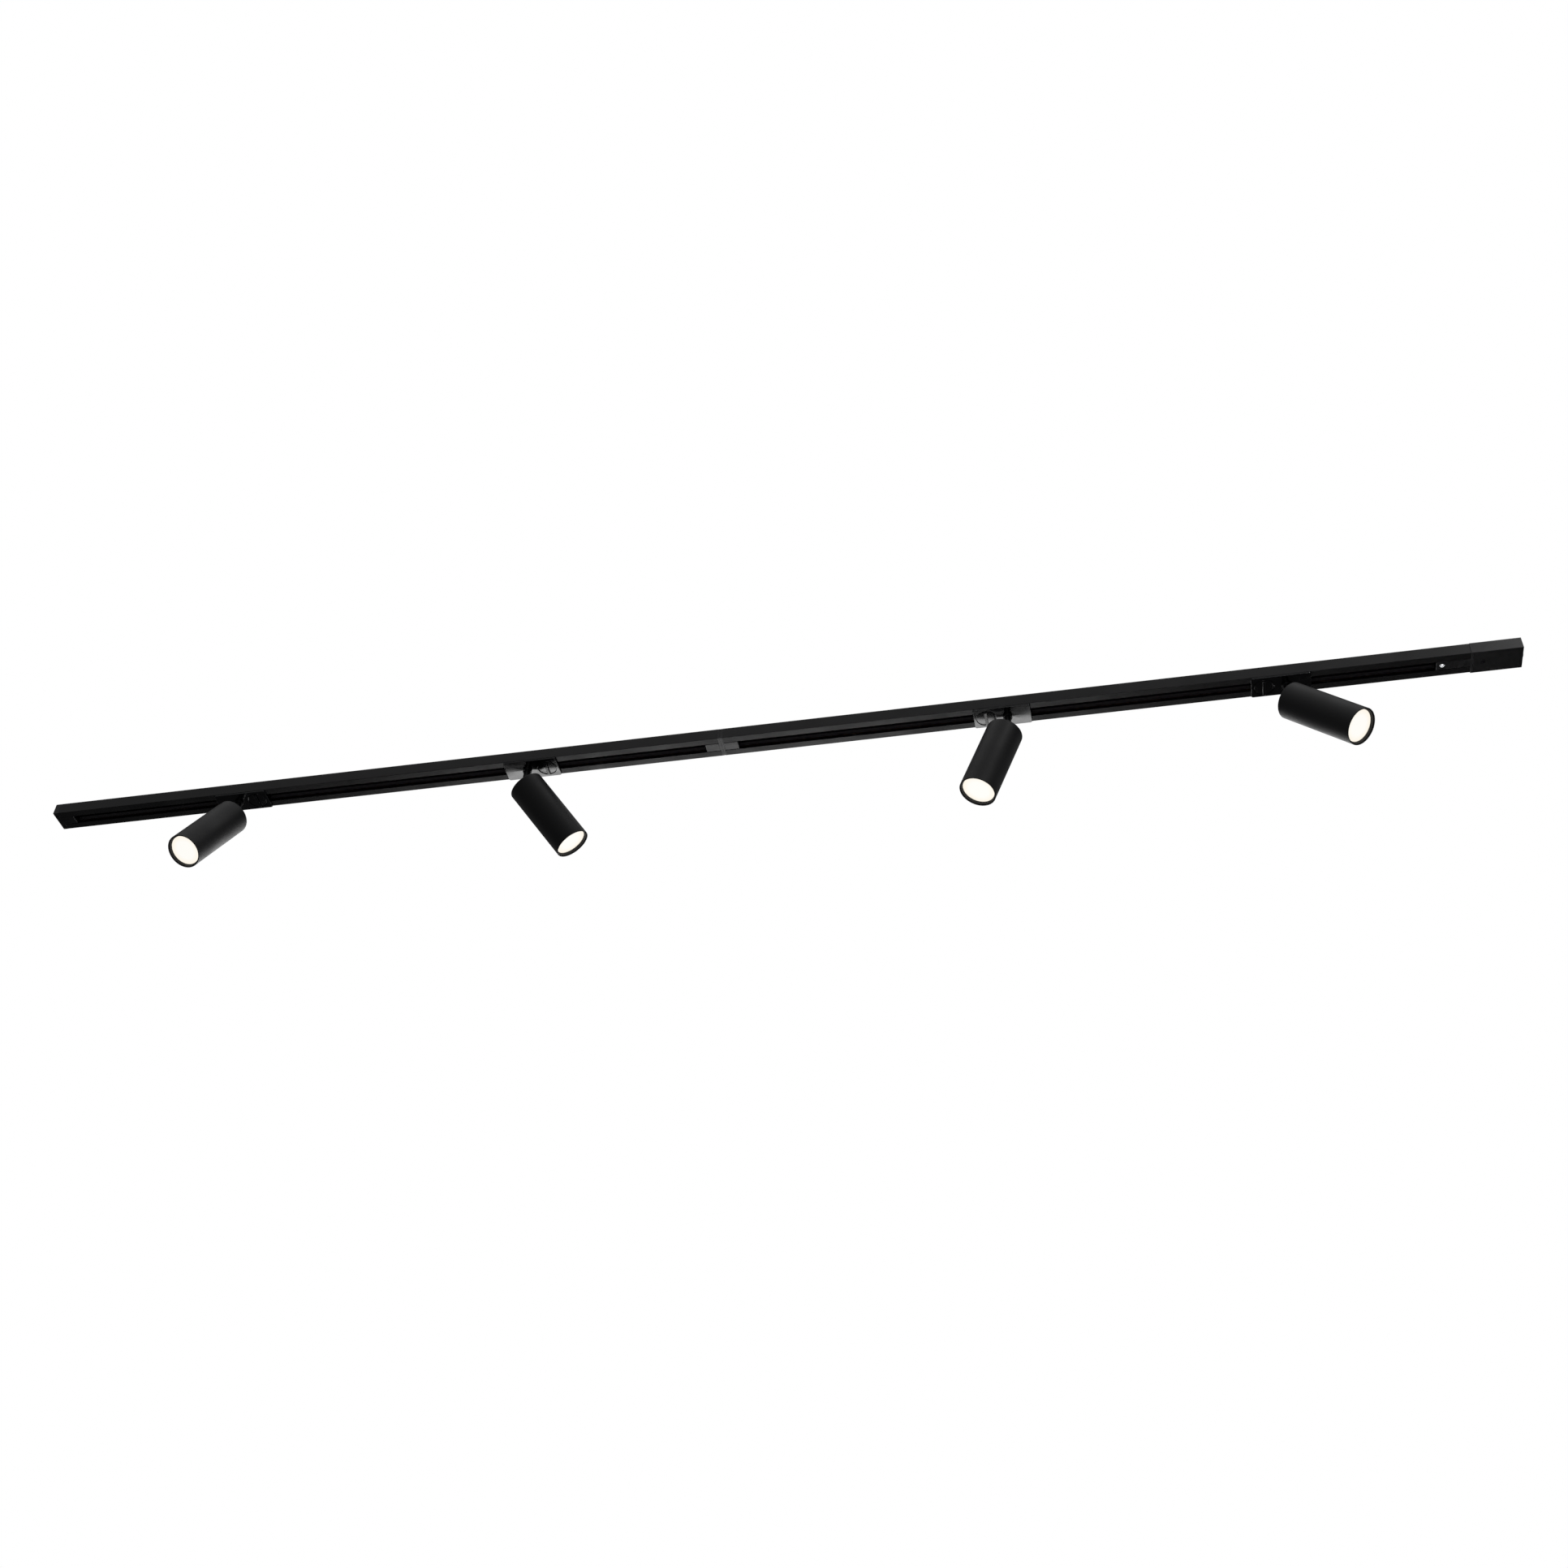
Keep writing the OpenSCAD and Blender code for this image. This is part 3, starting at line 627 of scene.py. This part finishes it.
def makeFeedHousing():
    low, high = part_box("feed_housing")
    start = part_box("track_right")[1].x
    coverLow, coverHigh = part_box("feed_cover")
    screwX = sum(corner.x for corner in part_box("cover_screw")) / 2
    lockX = sum(corner.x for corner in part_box("lock_screw")) / 2
    shell = soften(block((start, low.y, low.z), (high.x, high.y, high.z)), feed["round"], segments=4)
    piece = asObject(shell, "feedHousingShell")
    room = block((coverLow.x - feed["seam"], coverLow.y - feed["seam"], low.z - mm),
                 (coverHigh.x + feed["seam"], coverHigh.y + feed["seam"], -feed["wall"]))
    combine(piece, room)
    boss = rod(feed["boss"], low.z + feed["cover"], -feed["wall"] + 0.1 * mm, steps=32)
    bmesh.ops.translate(boss, verts=boss.verts, vec=(screwX, 0, 0))
    combine(piece, boss, "UNION")
    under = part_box("track_right")[0].z
    bar = block((low.x, -tongue["half"], under), (start + feed["wall"], tongue["half"], tongue["top"]))
    combine(piece, soften(bar, joint["tipRound"]), "UNION")
    arms = block((low.x + mm, -tongue["arms"], tongue["armLow"]),
                 (start + feed["wall"], tongue["arms"], tongue["armTop"]))
    combine(piece, arms, "UNION")
    seat = rod(feed["lockSeat"], under - mm, under + feed["seatDepth"], steps=48)
    shank = rod(feed["thread"] + 0.05 * mm, under, mm, steps=24)
    for tool in (seat, shank):
        bmesh.ops.translate(tool, verts=tool.verts, vec=(lockX, 0, 0))
        combine(piece, tool)
    for step in range(1, 4):  # the ribs across the tongue between the lock screw and the housing
        x = lockX + (start - lockX) * step / 4
        combine(piece, block((x - feed["rib"], -feed["ribReach"], under - mm),
                             (x + feed["rib"], feed["ribReach"], under + feed["ribDepth"])))
    entry = rod(feed["hole"], -2 * feed["wall"], 2 * feed["wall"], steps=48)
    bmesh.ops.rotate(entry, verts=entry.verts, matrix=Matrix.Rotation(pi / 2, 3, "Y"))
    bmesh.ops.translate(entry, verts=entry.verts, vec=(high.x, 0, feed["entryHeight"]))
    combine(piece, entry)
    return finishPiece(piece, "feed_housing", "rail", "connector_black")


def makeFeedCover():
    low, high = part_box("feed_cover")
    screwLow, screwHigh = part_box("cover_screw")
    piece = asObject(soften(block(low, high), feed["coverRound"]), "feedCoverPlate")
    x, head = (screwLow.x + screwHigh.x) / 2, (screwHigh.y - screwLow.y) / 2 + 0.15 * mm
    for radius, top in ((feed["thread"] + 0.1 * mm, high.z + mm), (head, low.z + feed["cover"] / 2)):
        tool = rod(radius, low.z - mm, top, steps=48)
        bmesh.ops.translate(tool, verts=tool.verts, vec=(x, 0, 0))
        combine(piece, tool)
    return finishPiece(piece, "feed_cover", "rail", "connector_black")


screw = {
    "round": 0.25 * mm,
    "slotReach": 6 * mm,
    "slotHalf": 0.4 * mm,
    "coverHead": 0.78 * mm,
    "lockHead": 1.6 * mm,
}


def makeScrew(node, name, slot, headHeight):
    # a turned screw with a rounded head and a sawn slot, pointing up
    low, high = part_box(node)
    radius, x = (high.y - low.y) / 2, (low.x + high.x) / 2
    outline = [(0, low.z), (radius, low.z), (radius, low.z + headHeight),
               (feed["thread"], low.z + headHeight), (feed["thread"], high.z), (0, high.z)]
    piece = asObject(soften(lathe(outline, steps=48), screw["round"]), name)
    combine(piece, block((-screw["slotReach"], -screw["slotHalf"], low.z - mm),
                         (screw["slotReach"], screw["slotHalf"], low.z + headHeight / 2)))
    return finishPiece(piece, node, "rail", slot, Matrix.Translation((x, 0, 0)))


grommet = {"lip": 1.2 * mm, "bore": 4.0 * mm, "wallIn": 5.48 * mm, "round": 0.4 * mm}


def makeGrommet():
    low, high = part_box("feed_grommet")
    radius, lip, thick = (high.y - low.y) / 2, grommet["lip"], high.x - low.x
    outline = [
        (grommet["bore"], 0), (radius, 0), (radius, lip), (grommet["wallIn"], lip),
        (grommet["wallIn"], thick - lip), (radius, thick - lip), (radius, thick), (grommet["bore"], thick),
    ]
    body = soften(lathe(outline, closed=True, steps=64), grommet["round"])
    place = Matrix.Translation((low.x, 0, (low.z + high.z) / 2)) @ Matrix.Rotation(pi / 2, 4, "Y")
    return finishPiece(asObject(body, "cableGrommet"), "feed_grommet", "rail", "grommet_rubber", place)


makeRail("track_left", "railLeft")
makeRail("track_right", "railRight")
makeJoiner()
makeEndCap()
makeFeedHousing()
makeFeedCover()
makeScrew("cover_screw", "coverScrew", "screw_black", screw["coverHead"])
makeScrew("lock_screw", "lockScrew", "screw_bright", screw["lockHead"])
makeGrommet()
print("rails, joint, dead end and feed made")


# ---- the spot heads ----

adapter = {
    "plate": 2.6 * mm,
    "corner": 3 * mm,
    "crown": 0.5 * mm,  # the underside is moulded slightly crowned
    "round": 0.5 * mm,
    "bodyRound": 0.6 * mm,
    "inset": 2 * mm,
    "stemBore": 4.6 * mm,
    "stemBoreTop": -10 * mm,
    "flangeRoom": 6.3 * mm,  # room for the stem's flange
    "flangeRoomLow": -12.3 * mm,
    "flangeRoomTop": -9.7 * mm,
    "knobRecess": 1.5 * mm,
    "knobGap": 0.35 * mm,
}


def crowned(body, under, half):
    # lifts the long sides of an underside, so that it slopes both ways from its middle
    bmesh.ops.bisect_plane(body, geom=body.verts[:] + body.edges[:] + body.faces[:], dist=0.001 * mm,
                           plane_co=(0, 0, 0), plane_no=(0, 1, 0))
    for vertex in body.verts:
        if vertex.co.z < under + 0.1 * mm:
            vertex.co.z += adapter["crown"] * abs(vertex.co.y) / half
    return body


def makeAdapter(n, place, latchX):
    low, high = boxIn(f"adapter_{n}", place)
    knobLow, knobHigh = boxIn(f"latch_{n}", place)
    plate = block(low, (high.x, high.y, low.z + adapter["plate"]))
    upright = lambda e: abs(e.verts[0].co.z - e.verts[1].co.z) > mm
    soften(plate, adapter["corner"], segments=8, only=upright)
    crowned(plate, low.z, high.y)
    piece = asObject(soften(plate, adapter["round"], angle=50), f"adapterBody{n}")
    inside = adapter["inset"]
    neck = block((low.x + inside, -tongue["half"], low.z + mm), (high.x - inside, tongue["half"], high.z))
    combine(piece, soften(neck, adapter["bodyRound"],
                          only=lambda e: e.verts[0].co.z > low.z + 2 * mm), "UNION")
    knob = (knobHigh.y - knobLow.y) / 2
    recess = rod(knob + adapter["knobGap"], low.z - mm, low.z + adapter["knobRecess"], 96)
    shaft = rod(latch["shaft"] + 0.1 * mm, low.z, high.z + mm, 48)
    camRoom = rod(knob - latch["camInset"], latch["camLow"] - latch["camPlay"],
                  latch["camTop"] + latch["camPlay"], 64)
    for tool in (recess, shaft, camRoom):
        bmesh.ops.translate(tool, verts=tool.verts, vec=(latchX, 0, 0))
        combine(piece, tool)
    combine(piece, rod(adapter["stemBore"], low.z - mm, adapter["stemBoreTop"], 48))
    combine(piece, rod(adapter["flangeRoom"], adapter["flangeRoomLow"], adapter["flangeRoomTop"], 48))
    return finishPiece(piece, f"adapter_{n}", f"adapter_{n}", "adapter_black", place)


latch = {
    "knob": 1.2 * mm,
    "knobInset": 0.6 * mm,  # the free line round the knob
    "dome": 0.45 * mm,
    "ridge": 4 * mm,
    "ridgeInset": 1 * mm,
    "shaft": 4 * mm,
    "cam": 6 * mm,
    "camReach": 11 * mm,
    "camInset": 2 * mm,
    "camPlay": 0.3 * mm,
    "camLow": -12.9 * mm,
    "camTop": -7.3 * mm,
    "round": 0.35 * mm,
}


def makeLatch(n, place, latchX):
    low, high = boxIn(f"latch_{n}", place)
    plateLow = boxIn(f"adapter_{n}", place)[0].z
    radius = (high.y - low.y) / 2 - latch["knobInset"]
    face = [(radius * i / 6, plateLow + latch["dome"] * (i / 6) ** 2) for i in range(7)]
    knob = soften(lathe([*face, (radius, plateLow + latch["knob"]), (0, plateLow + latch["knob"])]),
                  latch["round"])
    piece = asObject(knob, f"latchKnob{n}")
    grip = rod(radius - latch["ridgeInset"], low.z, plateLow + 0.5 * mm, 96)
    ridge = asObject(grip, "ridge")
    bar = block((-latch["ridge"] / 2, -radius, low.z - mm), (latch["ridge"] / 2, radius, plateLow + mm))
    combine(ridge, bar, "INTERSECT")
    work = bmesh.new()
    work.from_mesh(ridge.data)
    bpy.data.objects.remove(ridge)
    combine(piece, soften(work, latch["round"]), "UNION")
    combine(piece, rod(latch["shaft"], plateLow + 0.5 * mm, latch["camTop"], 48), "UNION")
    cam = asObject(rod(latch["camReach"], latch["camLow"], latch["camTop"], 64), "cam")
    combine(cam, block((-latch["cam"], -0.02, -0.02), (latch["cam"], 0.02, 0)), "INTERSECT")
    work = bmesh.new()
    work.from_mesh(cam.data)
    bpy.data.objects.remove(cam)
    combine(piece, work, "UNION")
    return finishPiece(piece, f"latch_{n}", f"latch_{n}", "adapter_black",
                       place @ Matrix.Translation((latchX, 0, 0)))


stem = {
    "rod": 4.5 * mm,
    "flange": 6 * mm,
    "flangeTop": -10 * mm,
    "flangeHeight": 2 * mm,
    "collar": 6.3 * mm,
    "collarTop": -21.2 * mm,
    "collarHeight": 3.2 * mm,
    "groove": 0.35 * mm,
    "pin": 1.55 * mm,
}


def makeStem(n, place, pivotHeight):
    s, top = stem, stem["collarTop"]
    ring = s["collarHeight"] / 3
    outline = [
        (0, s["flangeTop"]), (s["flange"], s["flangeTop"]), (s["flange"], s["flangeTop"] - s["flangeHeight"]),
        (s["rod"], s["flangeTop"] - s["flangeHeight"]), (s["rod"], top), (s["collar"], top),
        (s["collar"], top - ring), (s["collar"] - s["groove"], top - ring),
        (s["collar"] - s["groove"], top - 2 * ring), (s["collar"], top - 2 * ring),
        (s["collar"], top - 3 * ring), (s["rod"], top - 3 * ring),
        (s["rod"], pivotHeight - s["rod"] / 2), (s["rod"] * 0.7, pivotHeight - s["rod"] * 0.85),
        (0, pivotHeight - s["rod"]),
    ]
    piece = asObject(soften(lathe(outline, steps=64), 0.2 * mm, segments=2, angle=60), f"stemRod{n}")
    hole = rod(s["pin"], -8 * mm, 8 * mm, 24)
    bmesh.ops.rotate(hole, verts=hole.verts, matrix=Matrix.Rotation(pi / 2, 3, "X"))
    bmesh.ops.translate(hole, verts=hole.verts, vec=(0, 0, pivotHeight))
    combine(piece, hole)
    return finishPiece(piece, f"stem_{n}", f"stem_{n}", "stem_black", place)


tube = {"wall": 1.2 * mm, "lipRound": 0.45 * mm, "rearRound": 1.1 * mm, "slotHalf": 4.9 * mm}


def stemSlot(reach, top):
    # the way that the stem takes through the head's rear, from straight out to sideways
    half = tube["slotHalf"]
    body = rod(half, -half, top, 32)
    piece = asObject(body, "slot")
    combine(piece, block((0, -half, 0), (reach, half, top)), "UNION")
    side = rod(half, 0, reach, 32)
    bmesh.ops.rotate(side, verts=side.verts, matrix=Matrix.Rotation(pi / 2, 3, "Y"))
    combine(piece, side, "UNION")
    work = bmesh.new()
    work.from_mesh(piece.data)
    bpy.data.objects.remove(piece)
    return work


def shifted(body, x):
    bmesh.ops.translate(body, verts=body.verts, vec=(x, 0, 0))
    return body


def makeTube(n, place):
    low, high = boxIn(f"tube_{n}", place)
    middle, radius = (low.x + high.x) / 2, (high.y - low.y) / 2
    inner = radius - tube["wall"]
    outline = [(radius, high.z), (radius, low.z), (inner, low.z), (inner, high.z)]
    body = lathe(outline, closed=True, steps=128)
    soften(body, tube["lipRound"], segments=4, only=lambda e: e.verts[0].co.z < low.z + 0.1 * mm)
    soften(body, tube["rearRound"], segments=4,
           only=lambda e: e.verts[0].co.z > high.z - 0.1 * mm and e.verts[0].co.xy.length > radius - 0.1 * mm)
    piece = asObject(shifted(body, middle), f"headTube{n}")
    combine(piece, stemSlot(high.x + mm, high.z + mm))
    return finishPiece(piece, f"tube_{n}", f"head_{n}", "head_black", place)


rearCap = {
    "thick": 3 * mm,
    "sink": 0.3 * mm,
    "round": 0.35 * mm,
    "ear": 6 * mm,
    "earThick": 3 * mm,
    "postSink": 1.5 * mm,
    "pinReach": 20 * mm,
}


def makeRearCap(n, place):
    low, high = boxIn(f"rear_cap_{n}", place)
    tubeLow, tubeHigh = boxIn(f"tube_{n}", place)
    middle, radius = (tubeLow.x + tubeHigh.x) / 2, (high.y - low.y) / 2
    top = high.z - rearCap["sink"]
    bottom = high.z - rearCap["thick"]
    disc = lathe([(0, top), (radius, top), (radius, bottom), (0, bottom)])
    piece = asObject(shifted(soften(disc, rearCap["round"]), middle), f"rearCapDisc{n}")
    for side in (-1, 1):
        near = side * tube["slotHalf"]
        far = side * (tube["slotHalf"] + rearCap["earThick"])
        ear = rod(rearCap["ear"], min(near, far), max(near, far), 48)
        bmesh.ops.rotate(ear, verts=ear.verts, matrix=Matrix.Rotation(pi / 2, 3, "X"))
        combine(piece, ear, "UNION")
        post = block((-rearCap["ear"], min(near, far), 0),
                     (rearCap["ear"], max(near, far), high.z - rearCap["postSink"]))
        combine(piece, post, "UNION")
    combine(piece, stemSlot(tubeHigh.x + mm, high.z + mm))
    pinHole = rod(stem["pin"], -rearCap["pinReach"], rearCap["pinReach"], 24)
    bmesh.ops.rotate(pinHole, verts=pinHole.verts, matrix=Matrix.Rotation(pi / 2, 3, "X"))
    combine(piece, pinHole)
    return finishPiece(piece, f"rear_cap_{n}", f"head_{n}", "head_black", place)


frontRing = {"step": 0.9 * mm, "round": 0.12 * mm, "flare": 0.9 * mm, "gap": 0.2 * mm}


def makeFrontRing(n, place):
    # a baffle that flares towards the front in three fine steps
    low, high = boxIn(f"front_ring_{n}", place)
    middle, radius = (low.x + high.x) / 2, (high.y - low.y) / 2
    inner = boxIn(f"lamp_lens_{n}", place)
    bore = (inner[1].y - inner[0].y) / 2 + frontRing["gap"]
    outline = [(radius, high.z), (radius, low.z)]
    for step in range(3):
        r = bore + frontRing["flare"] * (3 - step) / 3
        outline += [(r, low.z + step * frontRing["step"]), (r, low.z + (step + 1) * frontRing["step"])]
    outline += [(bore, low.z + 3 * frontRing["step"]), (bore, high.z)]
    body = soften(lathe(outline, closed=True, steps=96), frontRing["round"], segments=2)
    return finishPiece(asObject(shifted(body, middle), f"frontRing{n}"),
                       f"front_ring_{n}", f"head_{n}", "ring_black", place)


lens = {"dome": 0.6 * mm, "rings": 8}


def makeLens(n, place):
    # a shallow frosted dome; each point keeps how far out it lies, for the glow
    low, high = boxIn(f"lamp_lens_{n}", place)
    middle, radius = (low.x + high.x) / 2, (high.y - low.y) / 2
    face = [(radius * i / lens["rings"], low.z + lens["dome"] * (i / lens["rings"]) ** 2)
            for i in range(lens["rings"] + 1)]
    body = lathe([*face, (radius, high.z), (0, high.z)])
    spread = body.verts.layers.float.new("spread")
    for vertex in body.verts:
        vertex[spread] = vertex.co.xy.length / radius
    return finishPiece(asObject(shifted(body, middle), f"lampDiffuser{n}"),
                       f"lamp_lens_{n}", f"head_{n}", "lamp_glow", place)


joints = {joint["name"]: joint for joint in frame["joints"]}
for n in range(1, spotCount + 1):
    tilt = joints[f"head_tilt_{n}"]
    pivot = Vector(tilt["pos_m"])
    pan = atan2(tilt["axis"][0], -tilt["axis"][1])  # the tilt axis lies square to the lean
    lean = radians(-tilt["range_deg"][0])
    offset = joints[f"latch_turn_{n}"]["pos_m"][0] - pivot.x
    alongRail = Matrix.Translation((pivot.x, 0, 0)) @ Matrix.Rotation(0 if offset > 0 else pi, 4, "Z")
    upright = Matrix.Translation((pivot.x, 0, 0)) @ Matrix.Rotation(pan, 4, "Z")
    leaning = Matrix.Translation(pivot) @ Matrix.Rotation(pan, 4, "Z") @ Matrix.Rotation(-lean, 4, "Y")
    makeAdapter(n, alongRail, abs(offset))
    makeLatch(n, alongRail, abs(offset))
    makeStem(n, upright, pivot.z)
    makeTube(n, leaning)
    makeRearCap(n, leaning)
    makeFrontRing(n, leaning)
    makeLens(n, leaning)
    print("spot head", n, "made")


# ---- the CAD nodes that keep their shape ----

finishOf = {part["node"]: part["material_slot"] for part in frame["record"]["subparts"]}
for node, shown in frame["nodes"].items():
    shown.data.materials.clear()
    shown.data.materials.append(materials[finishOf[node]])
print("finishes given to the remaining CAD nodes")
